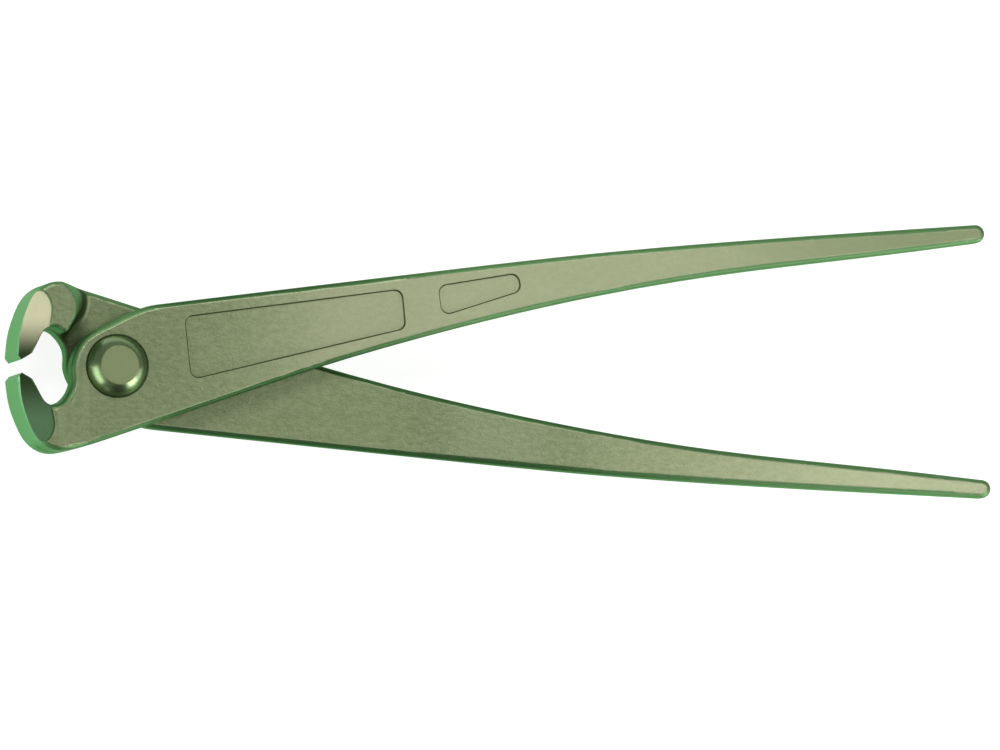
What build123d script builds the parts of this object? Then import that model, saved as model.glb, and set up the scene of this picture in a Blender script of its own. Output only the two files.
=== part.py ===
from build123d import *
import os

os.makedirs("parts", exist_ok=True)

# Rebar tying pliers: two forged legs that cross at one riveted lap joint.
# Millimetres. The joint's axis is Z and the handles run along +X. The tool lies on its side, on the
# lower head of the rivet, so Z = 0 is the bench that it lies on.

# The joint: two leaves, lap face to lap face, on one headed rivet
leaf_thickness = 7.0
lap_clearance = 0.1
shank_radius = 5.0
bore_clearance = 0.05
head_flat_radius = 5.6
head_skirt_radius = 9.3
head_proud = 4.0
head_bulge = 0.7
recess_depth = 0.5
recess_clearance = 0.2
seat_clearance = 0.05
leaf_reach = 13.8

# The jaws
jaw_reach = 30.5
jaw_half_height = 24.6
jaw_half_width = 9.7
edge_setback = 1.35
edge_half_opening = 1.95
bevel_height = 1.65
nose_thickness = 3.24
eye_half_height = 11.2
cove_radius = 3.2
shoulder_clearance = 1.0
shoulder_fall = 0.4
shoulder_slope = 6.0

# The ground hollow on each side of a jaw
hollow_margin = 0.4
hollow_tip_depth = 0.15
hollow_root_depth = 1.0

# The levers, from the joint's axis to the tips of the handles
lever_reach = 265.7
root_rise = 18.1
tip_rise = 38.0
tip_half_width = 2.7
tip_inner_slope = 7.2
tip_outer_slope = 3.7
grip_half_thickness = 4.6
tip_half_thickness = 3.2
edge_radius = 1.6
shoulder_edge_radius = 1.4

# The two sunk panels on a leg's outer face
panel_depth = 0.6
panel_corner_radius = 2.6
panel_foot_radius = 0.5

# One overrun for every cut
overrun = 10.0

# Shares of the jaw's reach and half height, down the ground front and round the root
front_shares = ((0.98, 0.358), (0.912, 0.642), (0.802, 0.882), (0.643, 1.0), (0.426, 0.984), (0.181, 0.902))
root_end_share = (0.076, 0.8)
# Shares of the leaf's reach and the lever's rise at its root, round the leaf from its corner
corner_share = (0.92, 1.0)
leaf_shares = (
    (0.217, 0.83), (-0.246, 0.66), (-0.645, 0.488), (-0.906, 0.228), (-1.0, -0.054), (-1.007, -0.293),
)
# Shares of the way from the leaf to the back of the nose and of the eye's half height, round the eye
eye_shares = ((0.149, 0.786), (0.37, 1.0), (0.63, 0.973), (0.82, 0.679), (0.985, 0.348))
# Shares of the lever's reach and the tip's rise, outwards along the inner edge, back along the outer edge
inner_shares = ((0.188, -0.1105), (0.3295, 0.1755), (0.512, 0.476), (0.694, 0.691), (0.878, 0.835))
outer_shares = ((0.8765, 1.024), (0.694, 0.942), (0.512, 0.8355), (0.33, 0.697))
# Shares of the shoulder's clearing radius and the jaw's half height, down the back of the jaw block
shoulder_shares = (
    (0.97, 0.2415), (0.828, 0.4105), (0.767, 0.496), (0.711, 0.573), (0.683, 0.663),
    (0.72, 0.82), (0.82, 0.929), (0.98, 1.039),
)
# Shares of the slope by which the foot of the shoulder's wall lies behind each of those points
slope_shares = (0.0, 0.0, 0.07, 0.23, 0.5, 0.8, 0.92, 1.0)
# Shares of the jaw's reach and half height round the hollow: its front side, then its root and its back
hollow_front_shares = ((0.97, 0.06), (1.0, 0.148), (0.981, 0.36), (0.92, 0.652))
hollow_root_shares = ((0.84, 0.83), (0.745, 0.905), (0.66, 0.8), (0.648, 0.62), (0.648, 0.06))
# Shares of the lever's reach and the tip's rise at the corners of the two panels
long_panel_shares = ((0.0768, 0.383), (0.326, 0.59), (0.3295, 0.275), (0.083, -0.114))
short_panel_shares = ((0.3665, 0.612), (0.4595, 0.712), (0.4635, 0.565), (0.3705, 0.368))
# Shares of the lever's reach where the outer face leaves the leaf, the lap ends and the grip starts
leaf_end_share = 0.15
lap_end_share = 0.308
grip_start_share = 0.56
# Shares of the leaf's reach where the outer face climbs from the leaf to the jaw
climb_start_share = 0.62
climb_end_share = 1.35

# Heights, radii and places that follow
joint_height = leaf_thickness + head_proud
lap_height = joint_height + lap_clearance / 2
bore_radius = shank_radius + bore_clearance
recess_radius = head_skirt_radius + recess_clearance
shoulder_radius = leaf_reach + cove_radius + shoulder_clearance
reach_limit = lever_reach + overrun
jaw_limit = jaw_reach + overrun
side_limit = tip_rise + root_rise + overrun
middle_plane = Plane.XY.offset(joint_height)


def placed(shares, reach, rise, start=0):
    """Turn a table of shares into points of an outline, measured along X from a start."""
    return [(start + reach * across, rise * up) for across, up in shares]


def heading(start, end):
    """Direction from one outline point to the next, for a spline's smooth start or end."""
    return (end[0] - start[0], end[1] - start[1])


# Points of one leg's outline: its jaw is the lower one and its handle the upper one
edge_reach = jaw_reach - edge_setback
edge_point = (-edge_reach, -edge_half_opening)
bevel_point = (-jaw_reach, -edge_half_opening - bevel_height)
front_points = placed(front_shares, -jaw_reach, -jaw_half_height)
root_end = (jaw_reach * root_end_share[0], -jaw_half_height * root_end_share[1])
inner_points = placed(inner_shares, lever_reach, tip_rise)
outer_points = placed(outer_shares, lever_reach, tip_rise)
tip_inner_line = Vector(1, 0).rotate(Axis.Z, tip_inner_slope)
tip_outer_line = Vector(-1, 0).rotate(Axis.Z, tip_outer_slope)
tip_centre = Vector(lever_reach - tip_half_width, tip_rise)
tip_inner = tip_centre + tip_inner_line.rotate(Axis.Z, -90) * tip_half_width
tip_outer = tip_centre + tip_outer_line.rotate(Axis.Z, -90) * tip_half_width
corner_point = (leaf_reach * corner_share[0], root_rise * corner_share[1])
leaf_points = placed(leaf_shares, leaf_reach, root_rise)
eye_points = placed(eye_shares, leaf_reach + nose_thickness - edge_reach, -eye_half_height, -leaf_reach)
front_line = heading(bevel_point, front_points[0])
inner_line = heading(root_end, inner_points[0])
outer_line = heading(outer_points[-1], corner_point)
leaf_line = heading(leaf_points[-2], eye_points[0])

with BuildSketch(Plane.XY.offset(joint_height - jaw_half_width)) as leg_outline:
    with BuildLine():
        Line(edge_point, bevel_point)
        Spline(bevel_point, *front_points, root_end, tangents=(front_line, inner_line))
        Line(root_end, inner_points[0])
        Spline(*inner_points, tip_inner, tangents=(inner_line, tip_inner_line))
        ThreePointArc(tip_inner, (lever_reach, tip_rise), tip_outer)
        Spline(tip_outer, *outer_points, tangents=(tip_outer_line, outer_line))
        Line(outer_points[-1], corner_point)
        Spline(corner_point, *leaf_points, tangents=(outer_line, leaf_line))
        Spline(leaf_points[-1], *eye_points, tangents=(leaf_line, heading(*eye_points[-2:])))
        Line(eye_points[-1], edge_point)
    make_face()


def side_points(side, sink):
    """Points of the side view on a leg's upper (1) or lower (-1) face, sunk by a given depth."""
    jaw = joint_height + side * (jaw_half_width - sink)
    leaf = joint_height + side * (leaf_thickness - sink)
    grip = joint_height + side * (grip_half_thickness - sink)
    tip = joint_height + side * (tip_half_thickness - sink)
    return jaw, leaf, (lever_reach * grip_start_share, grip), (reach_limit, tip)


def outer_cover(sink):
    """Solid over a leg's outer face, sunk by a given depth: jaw, climb, leaf, slope and grip."""
    jaw, leaf, grip_start, tip_end = side_points(1, sink)
    climb_start = (-leaf_reach * climb_start_share, leaf)
    climb_end = (-leaf_reach * climb_end_share, jaw)
    leaf_end = (lever_reach * leaf_end_share, leaf)
    top = jaw + overrun
    with BuildPart() as block:
        with BuildSketch(Plane.XZ):
            with BuildLine():
                Line((-jaw_limit, jaw), climb_end)
                Spline(climb_end, climb_start, tangents=((1, 0), (1, 0)))
                Line(climb_start, leaf_end)
                Spline(leaf_end, grip_start, tangents=((1, 0), heading(grip_start, tip_end)))
                Polyline(grip_start, tip_end, (reach_limit, top), (-jaw_limit, top), (-jaw_limit, jaw))
            make_face()
        extrude(amount=side_limit, both=True)
    return block.part


def rim_edges(part, side):
    """Edges round the faces on one side of the leg, back from the hollow of the jaw."""
    faces = [face for face in part.faces() if face.normal_at().Z * side > 0.5]
    edges = [edge for face in faces for edge in face.edges()]
    rim = [edge for edge in edges if sum(edge.is_same(other) for other in edges) == 1]
    return [edge for edge in rim if edge.center().X > -leaf_reach * climb_end_share]


# The hollow ground into the side of the jaw, on its outer side
hollow_fall = (hollow_root_depth - hollow_tip_depth) / jaw_half_height
hollow_plane = Plane(
    origin=(0, 0, joint_height + jaw_half_width - hollow_tip_depth),
    x_dir=(1, 0, 0),
    z_dir=(0, -hollow_fall, 1),
)
hollow_front = placed(hollow_front_shares, hollow_margin - jaw_reach, -jaw_half_height)
hollow_root = placed(hollow_root_shares, -jaw_reach, -jaw_half_height)
with BuildPart() as hollow:
    with BuildSketch(hollow_plane):
        with BuildLine():
            Spline(*hollow_front, *hollow_root)
            Line(hollow_root[-1], hollow_front[0])
        make_face()
    extrude(amount=overrun)

# The two panels, sunk to an even depth under the outer face, with a round at the foot of their walls
with BuildPart() as panels:
    for corner_shares in (long_panel_shares, short_panel_shares):
        corners = placed(corner_shares, lever_reach, tip_rise)
        with BuildSketch(middle_plane):
            with BuildLine():
                FilletPolyline(*corners, radius=panel_corner_radius, close=True)
            make_face()
        extrude(amount=jaw_half_width)
    add(outer_cover(panel_depth), mode=Mode.INTERSECT)
    fillet(rim_edges(panels.part, -1), panel_foot_radius)

# The lap: the inner half of the leg is cut away behind the shoulder, and slopes back out to the grip. The
# shoulder's wall stands upright beside the eye and leans more and more towards the outside of the jaw.
jaw_floor, leaf_floor, grip_start, tip_end = side_points(-1, 0)
shoulder_points = placed(shoulder_shares, -shoulder_radius, -jaw_half_height)
foot_points = [(point[0] + shoulder_slope * share, point[1]) for point, share in zip(shoulder_points, slope_shares)]
lap_start = (-jaw_limit, lap_height)
lap_end = (lever_reach * lap_end_share, lap_height)
with BuildPart() as lap_cut:
    for height, points in ((jaw_floor, shoulder_points), (lap_height, foot_points)):
        with BuildSketch(Plane.XY.offset(height)):
            with BuildLine():
                Spline(*points)
                Polyline(points[-1], (points[-1][0], -side_limit), (reach_limit, -side_limit))
                Line((reach_limit, -side_limit), (reach_limit, side_limit))
                Polyline((reach_limit, side_limit), (points[0][0], side_limit), points[0])
            make_face()
    loft(ruled=True)
    with BuildSketch(Plane.XZ):
        with BuildLine():
            Line(lap_start, lap_end)
            Spline(lap_end, grip_start, tangents=((1, 0), heading(grip_start, tip_end)))
            Polyline(grip_start, tip_end, (reach_limit, -overrun), (-jaw_limit, -overrun), lap_start)
        make_face()
    extrude(amount=side_limit, both=True, mode=Mode.INTERSECT)

# The underside of the jaw block falls away a little behind the hollow
with BuildPart() as jaw_fall:
    with BuildSketch(Plane.XZ):
        with BuildLine():
            Polyline(
                (-leaf_reach * climb_end_share, jaw_floor),
                (0, jaw_floor + shoulder_fall),
                (reach_limit, jaw_floor + shoulder_fall),
                (reach_limit, -overrun),
                (-leaf_reach * climb_end_share, -overrun),
                close=True,
            )
        make_face()
    extrude(amount=side_limit, both=True)

with BuildPart() as front_leg:
    # The forging: its outline, thinned to the shape of its outer face and cut away for the lap
    add(leg_outline.sketch)
    extrude(amount=2 * jaw_half_width)
    add(outer_cover(0), mode=Mode.SUBTRACT)
    add(jaw_fall.part, mode=Mode.SUBTRACT)
    add(lap_cut.part, mode=Mode.SUBTRACT)
    # The cove at the foot of the shoulder, which runs into the lap face
    lap_faces = front_leg.faces().filter_by(Plane.XY)
    lap_face = lap_faces.filter_by_position(Axis.Z, joint_height, lap_height + lap_clearance)[0]
    foot_point = Vertex(*foot_points[len(foot_points) // 4], lap_height)
    fillet(lap_face.edges().sort_by_distance(foot_point)[0], cove_radius)
    # The forged rims: round the outer face, round the lap and the grip, and round the jaw block's underside
    fillet(rim_edges(front_leg.part, 1), edge_radius)
    fillet([edge for edge in rim_edges(front_leg.part, -1) if edge.center().X > lap_end[0]], edge_radius)
    under_edges = [edge for edge in rim_edges(front_leg.part, -1) if edge.center().X < 0]
    fillet([edge for edge in under_edges if edge.center().Z < leaf_floor], shoulder_edge_radius)
    # The hollows ground into both sides of the jaw, and the panels
    add(hollow.part, mode=Mode.SUBTRACT)
    add(mirror(hollow.part, about=middle_plane), mode=Mode.SUBTRACT)
    add(panels.part, mode=Mode.SUBTRACT)
    # The bore for the rivet's shank and the recess for its head
    with BuildSketch(middle_plane):
        Circle(bore_radius)
    extrude(amount=jaw_half_width, mode=Mode.SUBTRACT)
    with BuildSketch(middle_plane.offset(leaf_thickness - recess_depth)):
        Circle(recess_radius)
    extrude(amount=overrun, mode=Mode.SUBTRACT)
front_leg.part.label = "front_leg"
export_step(front_leg.part, "parts/front_leg.step")

# The other leg is the same forging turned over about the tool's long axis
with BuildPart() as back_leg:
    with Locations((0, 0, 2 * joint_height)):
        add(front_leg.part, rotation=(180, 0, 0))
back_leg.part.label = "back_leg"
export_step(back_leg.part, "parts/back_leg.step")

# The rivet: a shank through both leaves, with a flat-topped domed head in each recess
seat = joint_height + leaf_thickness - recess_depth + seat_clearance
head_top = 2 * joint_height
skirt_middle = (
    (head_flat_radius + head_skirt_radius + head_bulge) / 2,
    (head_top + seat + head_bulge) / 2,
)
with BuildPart() as joint_rivet:
    with BuildSketch(Plane.XZ):
        with BuildLine():
            Polyline((0, joint_height), (shank_radius, joint_height), (shank_radius, seat))
            Line((shank_radius, seat), (head_skirt_radius, seat))
            ThreePointArc((head_skirt_radius, seat), skirt_middle, (head_flat_radius, head_top))
            Polyline((head_flat_radius, head_top), (0, head_top), (0, joint_height))
        make_face()
    revolve(axis=Axis.Z)
    mirror(about=middle_plane)
joint_rivet.part.label = "joint_rivet"
export_step(joint_rivet.part, "parts/joint_rivet.step")
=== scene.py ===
# %% [markdown]
# # Rebar tying pliers
# This lesson dresses a pair of concreters' nippers: two steel forgings that cross at one rivet. The shapes
# are solids already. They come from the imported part, so a piece is never fitted by eye. What is left to
# make is everything that a photograph shows besides shape: how forged, ground and turned steel differ, the
# light, the table and the camera.

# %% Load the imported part
import math

import bpy
from mathutils import Matrix, Vector


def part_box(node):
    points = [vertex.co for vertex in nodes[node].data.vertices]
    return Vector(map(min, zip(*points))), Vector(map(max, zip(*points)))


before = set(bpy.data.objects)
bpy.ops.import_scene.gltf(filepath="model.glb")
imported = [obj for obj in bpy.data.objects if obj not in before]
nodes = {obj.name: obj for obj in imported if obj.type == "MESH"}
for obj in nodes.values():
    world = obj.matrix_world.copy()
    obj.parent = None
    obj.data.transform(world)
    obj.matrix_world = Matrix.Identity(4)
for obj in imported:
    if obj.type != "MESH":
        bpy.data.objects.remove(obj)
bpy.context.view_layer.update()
for name in sorted(nodes):
    low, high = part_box(name)
    size_mm = [round(length * 1000, 1) for length in high - low]
    print(name, "measures", size_mm, "mm")

# %% [markdown]
# ## Where things are
# The joint's axis is Z, and both legs are the same forging: the back one is the front one turned over about
# the long axis. So every finish is written once, for the front leg, and a turn of -1 flips Y and Z for the
# other. The sizes below repeat the part's own, in metres, because a finish has to know where the jaw's
# ground hollow ends, where the sunk panels lie and where the rivet's flat starts.

# %% Sizes that the finishes follow
MM = 0.001
joint_height = 11.0 * MM
jaw_half_width = 9.7 * MM
jaw_root_reach = 18.6 * MM
jaw_front_reach = 22.0 * MM
shoulder_start = 8.6 * MM
lap_gap = 0.1 * MM
panel_start, panel_end = 18 * MM, 130 * MM
panel_middle, panel_middle_climb = 2.3 * MM, 0.162
head_flat_radius = 5.6 * MM
TURNS = {"front_leg": 1, "back_leg": -1}
print("joint at height", joint_height, "m; legs", sorted(TURNS))

# %% [markdown]
# ## Colours
# A picture's colours are stored on a bent scale, and a shader works on a straight one. `paint` turns the
# three numbers that a colour picker shows into the numbers that a shader wants. Typing the straight numbers
# by hand would work too, but nobody can read them.


# %% Turn picked colours into shader colours
def paint(red, green, blue):
    """A colour picked on the 0 to 255 scale, as linear light for a shader."""
    channels = []
    for value in (red, green, blue):
        share = value / 255
        channels.append(share / 12.92 if share <= 0.04045 else ((share + 0.055) / 1.055) ** 2.4)
    return (*channels, 1.0)


print("half grey in linear light", [round(value, 3) for value in paint(128, 128, 128)])

# %% [markdown]
# ## Shader maths
# A material is a graph of nodes. Wiring each sum by hand is slow to read, so `Signal` wraps a socket that
# holds a number, and the usual operators add the Math nodes. Masks come from `rises` and `falls`, which
# turn a distance or a slope into a soft step between 0 and 1.


# %% A number that changes over a surface
class Signal:
    """A number that changes over a surface: one output socket in a finish's node tree."""

    def __init__(self, finish, socket):
        self.finish = finish
        self.socket = socket

    def __add__(self, other):
        return self.finish.maths("ADD", self, other)

    __radd__ = __add__

    def __sub__(self, other):
        return self.finish.maths("SUBTRACT", self, other)

    def __rsub__(self, other):
        return self.finish.maths("SUBTRACT", other, self)

    def __neg__(self):
        return 0 - self

    def __mul__(self, other):
        return self.finish.maths("MULTIPLY", self, other)

    __rmul__ = __mul__

    def __abs__(self):
        return self.finish.maths("ABSOLUTE", self)

    def rises(self, start, end):
        """0 below start, 1 above end, and smooth between: the edge of a mask."""
        settings = {"interpolation_type": "SMOOTHSTEP"}
        sockets = {"Value": self, "From Min": start, "From Max": end}
        return self.finish.node("ShaderNodeMapRange", settings, sockets)

    def falls(self, start, end):
        """1 below start, 0 above end: the same edge the other way round."""
        return 1 - self.rises(start, end)


def either(first, second):
    """1 where one mask or the other is 1."""
    return first + second - first * second


# %% [markdown]
# ## One material
# `Finish` is one material while it is being built. Its `node` method adds any node, with its settings first
# and then the values or links of its sockets. Object coordinates place every pattern, so it stays on the
# steel when a leg swings. The slope of a face comes from the object's own normal for the same reason.


# %% One material as a small language
class Finish:
    """A material being built. Its coordinates are the part's own, and turn 1 or -1 picks the leg."""

    def __init__(self, name, turn=1):
        self.material = bpy.data.materials.new(name)
        self.material.use_nodes = True
        self.tree = self.material.node_tree
        self.tree.nodes.clear()
        place = self.node("ShaderNodeTexCoord", output="Object")
        self.place = self.scaled(place, (1, turn, turn))
        split = self.added("ShaderNodeSeparateXYZ", {}, {0: self.place})
        self.along, self.across, height = (Signal(self, socket) for socket in split.outputs)
        self.above = height - turn * joint_height
        facing = self.node("ShaderNodeTexCoord", output="Normal")
        tilt = self.added("ShaderNodeSeparateXYZ", {}, {0: facing})
        self.facing_along = Signal(self, tilt.outputs[0])
        self.facing_across = Signal(self, tilt.outputs[1]) * turn
        self.facing_up = abs(Signal(self, tilt.outputs[2]))

    def pick(self, sockets, key):
        """A socket by its number, or by its name where several nodes' sockets share one."""
        if isinstance(key, int):
            return sockets[key]
        named = [socket for socket in sockets if key in (socket.identifier, socket.name)]
        return next(socket for socket in named if socket.enabled)

    def added(self, kind, settings, sockets):
        """Adds a node: its settings first, then a value or a link for each socket named."""
        node = self.tree.nodes.new(kind)
        for setting, value in settings.items():
            setattr(node, setting, value)
        for key, value in sockets.items():
            socket = self.pick(node.inputs, key)
            if isinstance(value, Signal):
                self.tree.links.new(value.socket, socket)
            else:
                socket.default_value = value
        return node

    def node(self, kind, settings=None, sockets=None, output=0):
        """Adds a node and returns one of its outputs as a signal."""
        node = self.added(kind, settings or {}, sockets or {})
        return Signal(self, self.pick(node.outputs, output))

    def maths(self, operation, first, second=0.0):
        """Adds a Math node."""
        return self.node("ShaderNodeMath", {"operation": operation}, {0: first, 1: second})

    def scaled(self, vector, factors):
        """Multiplies a vector, axis by axis."""
        return self.node("ShaderNodeVectorMath", {"operation": "MULTIPLY"}, {0: vector, 1: factors})

    def blend(self, amount, under, over):
        """One colour over another by a mask."""
        sockets = {"Factor_Float": amount, "A_Color": under, "B_Color": over}
        return self.node("ShaderNodeMix", {"data_type": "RGBA"}, sockets, "Result_Color")

    def grain(self, size, detail=2.0, stretch=(1, 1, 1)):
        """Noise from 0 to 1 whose blobs are about size metres across, drawn out along an axis by stretch."""
        spot = self.scaled(self.place, tuple(1 / factor for factor in stretch))
        return self.node("ShaderNodeTexNoise", {}, {"Vector": spot, "Scale": 1 / size, "Detail": detail})

    def close(self, sockets):
        """Ends the graph with its shader: what varies is linked, what is even is set on the sockets."""
        shader = self.node("ShaderNodeBsdfPrincipled", {}, sockets)
        self.added("ShaderNodeOutputMaterial", {}, {"Surface": shader})
        print(self.material.name, "has", len(self.tree.nodes), "nodes")
        return self.material


# %% [markdown]
# ## Steel
# Blackened steel is neither a mirror nor a paint: most of its light is a metal's reflection, tinted by the
# oxide. A full metal turns white where it is seen at a grazing angle; here the tint of the edge is green, a
# painted reflection of green surroundings. The coat is for the rivet alone.

# %% The shader that every steel ends with
# The green edge tint is a painted reflection of green surroundings.
EDGE_REFLECTION_TINT = (0.35, 0.6, 0.35, 1.0)
EDGE_LEVEL = 0.25
COAT_ROUGHNESS = 0.3


def steel_shader(steel, colour, roughness, metallic, relief, depth, coat=0.0):
    """Closes a steel finish. Relief is from 0 to 1, and depth is its height in metres."""
    bump = steel.node("ShaderNodeBump", {}, {"Height": relief, "Strength": 1.0, "Distance": depth})
    sockets = {"Base Color": colour, "Roughness": roughness, "Metallic": metallic, "Normal": bump}
    sockets.update({"Specular IOR Level": EDGE_LEVEL, "Specular Tint": EDGE_REFLECTION_TINT})
    sockets.update({"Coat Weight": coat, "Coat Roughness": COAT_ROUGHNESS})
    return steel.close(sockets)


print("edge tint", EDGE_REFLECTION_TINT)

# %% [markdown]
# ## Forged and ground steel
# A drop forging keeps a fine pitted skin from its scale. On its broad faces it looks warm and grey-olive,
# and its rims and walls are painted greener and deeper, a painted reflection of green surroundings. Where
# the jaw has been ground, the skin is gone: the front is smooth and even, and the hollows in its sides show
# the metal with fine lines from the wheel; their colours are painted reflection too. Each could be a
# material of its own on its own faces. One material holds all of them here, with masks made from the
# surface's place and slope, because the real tool is one piece of steel, and seams between materials would
# look painted on.
#
# The first masks read the slope: level faces, upright walls, and the thin crest between, lighter partly from
# wear and partly from a painted highlight. The shoulder keeps the skin of a face although it climbs, so a
# small lift lets it count as level.

# %% Masks from the slope
LEVEL = (0.94, 0.99)
UPRIGHT = (0.1, 0.45)
CREST_FOOT, CREST_TOP = (0.955, 0.985), (0.993, 0.9985)
SHOULDER_FACING = (0.0, 0.1)
SHOULDER_LIFT = 0.08


def slope_masks(steel):
    """The shoulder's slope, level faces, upright walls, and the crest between the last two."""
    on_shoulder = (-steel.along).rises(shoulder_start, shoulder_start + MM)
    shoulder = on_shoulder * steel.facing_along.rises(*SHOULDER_FACING)
    flatness = steel.facing_up + shoulder * SHOULDER_LIFT
    crest = flatness.rises(*CREST_FOOT) * flatness.falls(*CREST_TOP)
    return shoulder, flatness.rises(*LEVEL), flatness.falls(*UPRIGHT), crest


print("level from", LEVEL[0], "of a full upward normal")

# %% [markdown]
# ## The ground jaw
# The wheel leaves two places: the front of the jaw, which faces away from the handles, and the shallow
# hollow in its side. The hollow lies a little below the jaw's side face, so its depth finds it. Their
# colours are painted: the front's green is painted reflection, and the hollow is darkest at the cutting
# edge, as painted shade, and painted reflection away from it. The two jaws catch the light differently in
# the photograph, so each has its own painted bright tone.

# %% Masks and tones of the ground jaw
HOLLOW_DEPTHS = (0.12 * MM, 0.04 * MM)
HOLLOW_LEVEL = (0.9, 0.97)
HOLLOW_EDGE = 0.4 * MM
FRONT_FACING = (0.25, 0.6)
FRONT_EDGE = 3 * MM
SHEEN_SPANS = {"front_leg": (3 * MM, 17 * MM), "back_leg": (3 * MM, 15 * MM)}
# The ground colours are painted reflection, with painted shade at the hollow's cutting edge.
FRONT_REFLECTION_GREEN = paint(117, 171, 120)
HOLLOW_REFLECTION_TONES = {"front_leg": paint(104, 140, 102), "back_leg": paint(236, 233, 194)}
HOLLOW_TIP_SHADE = paint(56, 72, 44)


def ground_masks(steel):
    """The jaw's ground front, and the hollow in its side."""
    ahead = -steel.along
    on_jaw = ahead.rises(jaw_root_reach, jaw_root_reach + HOLLOW_EDGE)
    sunk = abs(steel.above).falls(*(jaw_half_width - depth for depth in HOLLOW_DEPTHS))
    hollow = on_jaw * sunk * steel.facing_up.rises(*HOLLOW_LEVEL)
    on_front = ahead.rises(jaw_front_reach, jaw_front_reach + FRONT_EDGE)
    front = (-steel.facing_along).rises(*FRONT_FACING) * on_front
    return front, hollow


def hollow_reflection_and_shade(steel, name):
    """Painted shade at the cutting edge, and painted reflection brighter away from it."""
    # Painted reflection: the sheen and each jaw's bright tone stand in for mirrored light.
    sheen = (-steel.across).rises(*SHEEN_SPANS[name])
    return steel.blend(sheen, HOLLOW_TIP_SHADE, HOLLOW_REFLECTION_TONES[name])


print("hollow starts", jaw_root_reach, "m ahead of the joint")

# %% [markdown]
# ## The skin of the broad faces
# The skin is more pitted near the joint, and the pits thin out along the handles. The faces are also
# painted darker near the joint, and the front leg near its tip: that darkening is painted shade. The pits
# are noise in two sizes, and one much larger cloud keeps the long faces from looking printed. A painted map
# could show them too, but it would blur in a close view. The two legs fade at different places in the
# photograph, so each has its own span.

# %% Colour of a level face
FORGED_FACE = paint(176, 181, 147)
FORGED_PIT = paint(132, 144, 106)
# Painted shade for the faces near the joint and near the front leg's tip.
FACE_PAINTED_SHADE = paint(127, 141, 103)
PITS_AND_SHADE_FADES = {"front_leg": (15 * MM, 75 * MM), "back_leg": (70 * MM, 260 * MM)}
FACE_SHADE_SHARE = 0.62
TIP_SHADE_SPAN = (160 * MM, 240 * MM)
TIP_SHADE_SHARES = {"front_leg": 0.6, "back_leg": 0.0}
CLOUD_SIZE = 24 * MM
CLOUD_SPAN = (0.3, 0.7)
CLOUD_SHARE = 0.08


def face_colour(steel, name, pitted, pits_and_shade_near_joint):
    """The pitted skin, with painted shade near the joint and, where the leg has it, near the tip."""
    tip_shade = steel.along.rises(*TIP_SHADE_SPAN)
    cloud = steel.grain(CLOUD_SIZE, 1.0)
    face = steel.blend(pitted * (0.25 + 0.75 * pits_and_shade_near_joint), FORGED_FACE, FORGED_PIT)
    # Painted shade: darker near the joint, and on the front leg near its tip.
    face = steel.blend(pits_and_shade_near_joint * FACE_SHADE_SHARE + tip_shade * TIP_SHADE_SHARES[name], face, FACE_PAINTED_SHADE)
    return steel.blend(cloud.rises(*CLOUD_SPAN) * CLOUD_SHARE, face, FORGED_PIT)


print("scale fades over", PITS_AND_SHADE_FADES)

# %% [markdown]
# ## Rims and the walls of the panels
# Rims and walls are painted green, a painted reflection of green surroundings, and the rims get a painted
# shade beside the joint. The low walls round the two sunk panels get a darker painted shade, the shade of a
# recess, so they are darker than a rim. A wall is found by where it faces: one along a panel's side faces
# the panel's middle line, and one at its end faces along the leg.
# one along a panel's side faces the panel's middle line, and one at its end faces along the leg.

# %% Colour of a rim, a wall and a panel's edge
# The rim and wall greens are a painted reflection of green surroundings.
RIM_REFLECTION_GREEN = paint(98, 136, 90)
WALL_REFLECTION_GREEN = paint(98, 154, 98)
RIM_SHADE = paint(40, 76, 38)
RIM_START = (0, 20 * MM)
RIM_FADES = {"front_leg": (50 * MM, 120 * MM), "back_leg": (70 * MM, 260 * MM)}
RIM_SHARE = 0.7
PANEL_SHADE = paint(80, 88, 58)
PANEL_HEIGHTS = (4 * MM, 4.5 * MM)
PANEL_INWARD = (0.2 * MM, 0.6 * MM)
PANEL_ENDS = (0.35, 0.5)


def panel_wall_mask(steel):
    """The low walls round the sunk panels in the outer face."""
    from_middle = steel.across - steel.along * panel_middle_climb - panel_middle
    inward = (from_middle * steel.facing_across * -1).rises(*PANEL_INWARD)
    ends = abs(steel.facing_along).rises(*PANEL_ENDS)
    wall = (inward + ends) * steel.along.rises(panel_start, panel_start + MM)
    wall = wall * steel.along.falls(panel_end, panel_end + MM) * steel.above.rises(*PANEL_HEIGHTS)
    return wall.rises(0, 1)


def edge_reflection_and_shade(steel, name, upright):
    """Everything that isn't a level face: painted green reflection, with painted shade on rims and panel
    walls.
    """
    # Painted reflection: rims and walls are green, and upright walls a brighter green.
    edge = steel.blend(upright, RIM_REFLECTION_GREEN, WALL_REFLECTION_GREEN)
    # Painted shade on the rims beside the joint.
    dark_rim = steel.along.rises(*RIM_START) * steel.along.falls(*RIM_FADES[name])
    edge = steel.blend(dark_rim * RIM_SHARE, edge, RIM_SHADE)
    # Painted shade on the low walls round the sunk panels.
    return steel.blend(panel_wall_mask(steel), edge, PANEL_SHADE)


print("rims are dark over", RIM_FADES)

# %% [markdown]
# ## The cove
# Where the leaf of the lap meets the shoulder there is a cove, and it is nearly black. Light alone doesn't
# darken it enough, because the glowing table shines into it, so a mask adds painted shade. It lies just
# below the height of the lap, ahead of the joint.

# %% Mask of the dark cove
COVE_SHADE = paint(74, 80, 54)
COVE_SHARE = 0.85
LAP_ABOVE, LAP_BELOW = (-1 * MM, -0.5 * MM), (1.2 * MM, 2.2 * MM)
COVE_DEPTH, COVE_AHEAD = (0.02 * MM, 0.3 * MM), (0, 6 * MM)
CREVICE_AHEAD, CREVICE_ASIDE = (5 * MM, 10 * MM), (11 * MM, 18 * MM)


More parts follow.
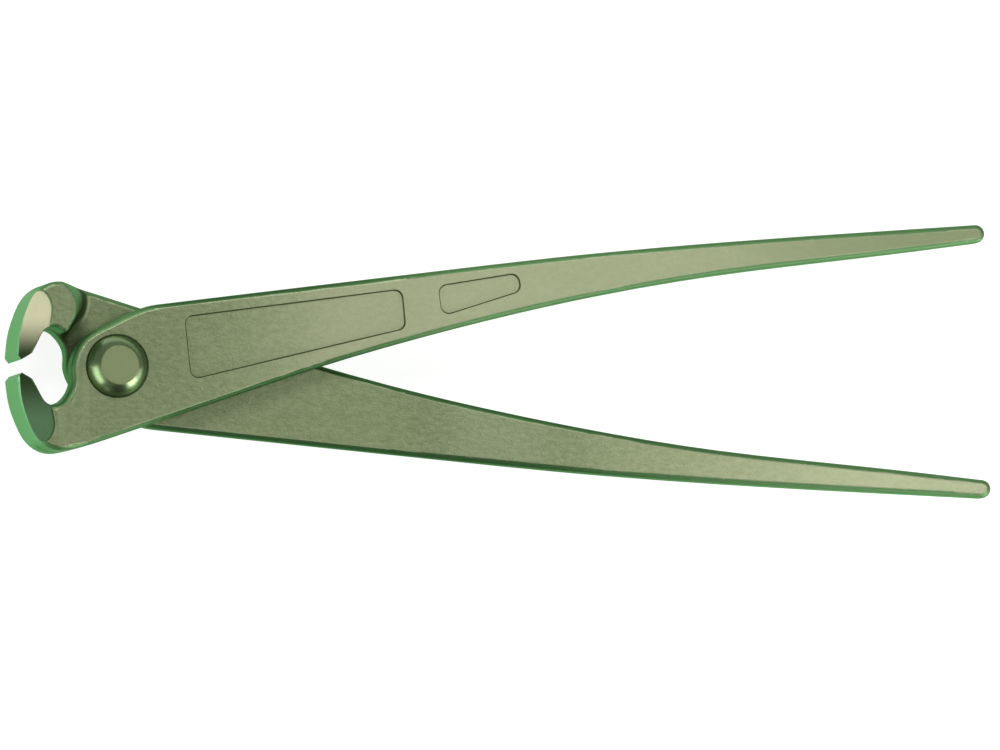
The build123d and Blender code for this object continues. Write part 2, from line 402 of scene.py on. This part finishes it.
def cove_shade_mask(steel):
    """Painted shade: the cove at the shoulder's foot, and the crevice beside it."""
    ahead = -steel.along
    under_lap = 0.5 * lap_gap - steel.above
    on_lap = under_lap.rises(*LAP_ABOVE) * under_lap.falls(*LAP_BELOW)
    cove = under_lap.rises(*COVE_DEPTH) * ahead.rises(*COVE_AHEAD)
    crevice = ahead.rises(*CREVICE_AHEAD) * (-steel.across).falls(*CREVICE_ASIDE)
    return on_lap * either(cove, crevice)


print("cove within", LAP_BELOW[1], "m of the lap")

# %% [markdown]
# ## Putting the leg's finish together
# The colours are laid one over another in the order in which the real surfaces came: the forging first,
# then the crest's wear and painted highlight and the cove's painted shade, and the wheel last, because
# grinding takes all of it away. The same masks steer the roughness, the share of metal and the relief, so a
# pit is dull as well as dark.

# %% The finish of a leg
# The crest's light colour is partly wear and partly a painted highlight.
CREST_WEAR_AND_HIGHLIGHT = paint(190, 204, 166)
CREST_SHARE = 0.3
SPECKLE_SIZE = 0.5 * MM
BLOTCH_SIZE = 1.3 * MM
WHEEL_LINE = 0.25 * MM
PIT_SPAN = (0.32, 0.68)
SKIN_DEPTH = 0.16 * MM
FORGED_ROUGHNESS = 0.36
FORGED_METALLIC = 0.88


def forged_steel(name, turn):
    """Blackened forging with a ground jaw."""
    steel = Finish("forged_" + name, turn)
    speckle = steel.grain(SPECKLE_SIZE, 3.0)
    blotch = steel.grain(BLOTCH_SIZE, 2.0, stretch=(1.6, 1, 1))
    wheel = steel.grain(WHEEL_LINE, 1.0, stretch=(1, 14, 14))
    shoulder, level, upright, crest = slope_masks(steel)
    front, hollow = ground_masks(steel)
    pits_and_shade_near_joint = steel.along.falls(*PITS_AND_SHADE_FADES[name])
    pitted = (blotch * 0.5 + speckle * 0.5).falls(*PIT_SPAN)

    edge = edge_reflection_and_shade(steel, name, upright)
    face = face_colour(steel, name, pitted, pits_and_shade_near_joint)
    colour = steel.blend(level, edge, face)
    # Lighter crest: partly wear, partly a painted highlight.
    colour = steel.blend(crest * CREST_SHARE, colour, CREST_WEAR_AND_HIGHLIGHT)
    # Painted shade in the cove and the crevice beside the shoulder.
    colour = steel.blend(cove_shade_mask(steel) * COVE_SHARE, colour, COVE_SHADE)
    # Painted reflection: the ground front is green from green surroundings.
    colour = steel.blend(front, colour, FRONT_REFLECTION_GREEN)
    colour = steel.blend(hollow, colour, hollow_reflection_and_shade(steel, name))

    ground = either(front, hollow)
    forged = 1 - ground
    skin = speckle * 0.4 + blotch * 0.6 * (0.4 + 1.2 * pits_and_shade_near_joint)
    relief = skin * forged * (0.3 + 0.7 * level) + wheel * ground * 0.1
    roughness = FORGED_ROUGHNESS + 0.1 * speckle - 0.06 * ground + 0.12 * (1 - level) * forged
    metallic = FORGED_METALLIC - (0.26 * level + 0.2 * shoulder) * forged
    return steel_shader(steel, colour, roughness, metallic, relief, SKIN_DEPTH)


for name, turn in TURNS.items():
    nodes[name].material_slots[0].material = forged_steel(name, turn)

# %% [markdown]
# ## Turned steel
# The rivet is turned on a lathe and then blackened, so it is smoother than the legs and its fine lines run
# in rings. A ring pattern is the distance from the joint's axis, put through a sine. The flat is duller
# than the domed skirt, which gets a coat, so that it catches the lamps. The skirt's darker green is a
# painted reflection of green surroundings.

# %% The finish of the rivet
TURNED_FLAT = paint(146, 158, 116)
# Painted reflection: the skirt's darker green stands in for green surroundings.
SKIRT_REFLECTION_GREEN = paint(108, 132, 84)
TURNED_ROUGHNESS = 0.34
TURNED_METALLIC = 0.9
RING_PITCH = 0.35 * MM
RING_DEPTH = 0.02 * MM


def turned_steel(name):
    """Blackened lathe-turned steel with ring marks."""
    steel = Finish(name)
    spoke = steel.scaled(steel.place, (1, 1, 0))
    radius = steel.node("ShaderNodeVectorMath", {"operation": "LENGTH"}, {0: spoke}, "Value")
    speckle = steel.grain(SPECKLE_SIZE, 2.0)
    skirt = radius.rises(head_flat_radius - 0.1 * MM, head_flat_radius + 0.4 * MM)
    rings = steel.maths("SINE", radius * (2 * math.pi / RING_PITCH))
    # Painted reflection: the skirt is a darker green than the flat.
    colour = steel.blend(skirt, TURNED_FLAT, SKIRT_REFLECTION_GREEN)
    relief = rings * 0.15 + speckle * 0.85
    roughness = TURNED_ROUGHNESS + 0.08 * speckle - 0.12 * skirt
    return steel_shader(steel, colour, roughness, TURNED_METALLIC, relief, RING_DEPTH, coat=skirt)


nodes["joint_rivet"].material_slots[0].material = turned_steel("turned_joint_rivet")

# %% [markdown]
# ## The table
# Catalogue photographs of tools are taken on a white table that lets light through from below, so that
# shadows all but vanish. Lamps under a glass sheet could do it. A floor that glows a little does the same,
# and it costs no more time to render.

# %% White table
TABLE_HALF = 8.0
TABLE_GLOW = 0.86
corners = [(-TABLE_HALF, -TABLE_HALF, 0), (TABLE_HALF, -TABLE_HALF, 0)]
corners += [(TABLE_HALF, TABLE_HALF, 0), (-TABLE_HALF, TABLE_HALF, 0)]
floor_mesh = bpy.data.meshes.new("floor")
floor_mesh.from_pydata(corners, [], [(0, 1, 2, 3)])
floor = bpy.data.objects.new("floor", floor_mesh)
bpy.context.scene.collection.objects.link(floor)
table_sockets = {"Base Color": paint(160, 160, 160), "Roughness": 0.6, "Specular IOR Level": 0.1}
table_sockets.update({"Emission Color": paint(255, 255, 255), "Emission Strength": TABLE_GLOW})
floor_mesh.materials.append(Finish("white_table").close(table_sockets))
print("table of", 2 * TABLE_HALF, "m")

# %% [markdown]
# ## Lamps
# A small lamp high above the handles throws the faint shadow below the crossing leg. A broad one stands
# beyond the tool and lights its faces, and a wide one at the left and one on the near side give the two
# bright patches on the rivet's skirt, at its lower left and lower right. A low one at the right grazes the
# rims, and a last one, no larger than a hand, lifts the end of the lower handle. Area lamps are used
# throughout, because a sun or a point would draw hard edges that no soft studio light has.


# %% Softboxes
def softbox(name, place, aim, width, height, watts):
    """A rectangular area lamp that shines from a place at an aim."""
    data = bpy.data.lights.new(name, "AREA")
    data.shape = "RECTANGLE"
    data.size, data.size_y = width, height
    data.energy = watts
    lamp = bpy.data.objects.new(name, data)
    bpy.context.scene.collection.objects.link(lamp)
    lamp.location = place
    lamp.rotation_euler = (Vector(aim) - Vector(place)).to_track_quat("-Z", "Y").to_euler()
    lamp.visible_camera = False
    print(name, "gives", watts, "W")


middle = (0.11, 0.0, joint_height)
lower_grip = (0.24, -0.04, joint_height)
softbox("main_softbox", (0.37, 0.08, 0.8), middle, 0.25, 0.25, 0.53)
softbox("far_softbox", (0.0, 1.1, 1.2), middle, 0.8, 0.5, 9.5)
softbox("left_softbox", (-1.04, -0.5, 0.32), middle, 1.1, 0.5, 6.5)
softbox("right_softbox", (0.9, -0.45, 0.12), middle, 0.8, 0.24, 1.6)
softbox("near_softbox", (0.8, -0.72, 0.34), middle, 0.5, 0.5, 4.6)
softbox("tip_softbox", (0.285, -0.04, 0.2), lower_grip, 0.06, 0.06, 0.035)

# %% [markdown]
# ## The flag
# In a photo studio, a black sheet called a flag stands where a shiny thing has to look dark. Here it is
# what the near side of the rivet's skirt mirrors, between its two bright patches: black velvet laid on the
# table and turned up at its far end. The camera, the shadows and the soft light pass it by, so only
# mirrored light sees it.

# %% Black velvet that the rivet mirrors
FLAG_NEAR = -0.055
FLAG_FAR = -0.3
FLAG_SIDES = (-0.05, 0.17)
FLAG_TOP = 0.18
flag_profile = [(FLAG_NEAR, MM), (FLAG_FAR, MM), (FLAG_FAR, FLAG_TOP)]
flag_corners = [(side, *corner) for side in FLAG_SIDES for corner in flag_profile]
flag_mesh = bpy.data.meshes.new("dark_flag")
flag_mesh.from_pydata(flag_corners, [], [(0, 1, 4, 3), (1, 2, 5, 4)])
flag = bpy.data.objects.new("dark_flag", flag_mesh)
bpy.context.scene.collection.objects.link(flag)
flag.visible_camera = False
flag.visible_shadow = False
flag.visible_diffuse = False
velvet_sockets = {"Base Color": paint(14, 26, 12), "Roughness": 0.9}
flag_mesh.materials.append(Finish("dark_velvet").close(velvet_sockets))
print("flag", round(FLAG_NEAR - FLAG_FAR, 3), "m deep and", FLAG_TOP, "m high")

# %% [markdown]
# ## The room
# The rest of the light is an even pale room with a trace of green, as in the photograph.

# %% Pale room
ROOM_LIGHT = 0.3
ROOM_TINT = (0.95, 1.0, 0.95, 1.0)
world = bpy.data.worlds.new("pale_room")
bpy.context.scene.world = world
world.use_nodes = True
world.node_tree.nodes["Background"].inputs["Color"].default_value = ROOM_TINT
world.node_tree.nodes["Background"].inputs["Strength"].default_value = ROOM_LIGHT
print("room light", ROOM_LIGHT)

# %% [markdown]
# ## Camera
# The photograph was taken from almost straight above with a long lens: the joint's axis leans 14 degrees
# from the line of sight, so a sliver of each jaw's ground front shows. The camera is placed on that line
# and turned a little about it, and its frame is about 294 mm wide at the joint. The view transform is
# Standard, because Blender's own choice rolls bright tones off and would turn the white table grey.

# %% Camera at the photograph's angle
LEAN = math.radians(14.0)
LEAN_SIDE = math.radians(15.5)
ROLL = math.radians(0.83)
FRAME_WIDTH = 293.8 * MM
FRAME_RIGHT = 113.9 * MM
FRAME_DOWN = 2.2 * MM
LENS_MM = 600

sideways = -math.sin(LEAN)
sight = Vector((sideways * math.cos(LEAN_SIDE), sideways * math.sin(LEAN_SIDE), math.cos(LEAN)))
hinge = Vector((0, 0, 1)).cross(sight).normalized()
lean = Matrix.Rotation(LEAN, 3, hinge)
level_right = lean @ Vector((1, 0, 0))
level_up = lean @ Vector((0, 1, 0))
right = level_right * math.cos(ROLL) - level_up * math.sin(ROLL)
up = level_right * math.sin(ROLL) + level_up * math.cos(ROLL)

camera_data = bpy.data.cameras.new("camera")
camera_data.lens = LENS_MM
camera_data.clip_end = 100
distance = FRAME_WIDTH * LENS_MM / camera_data.sensor_width
camera = bpy.data.objects.new("camera", camera_data)
bpy.context.scene.collection.objects.link(camera)
target = Vector((0, 0, joint_height)) + right * FRAME_RIGHT - up * FRAME_DOWN
camera.location = target + sight * distance
camera.rotation_euler = Matrix((right, up, sight)).transposed().to_euler()
bpy.context.scene.camera = camera
bpy.context.scene.view_settings.view_transform = "Standard"
print("camera", round(distance, 2), "m from the tool")
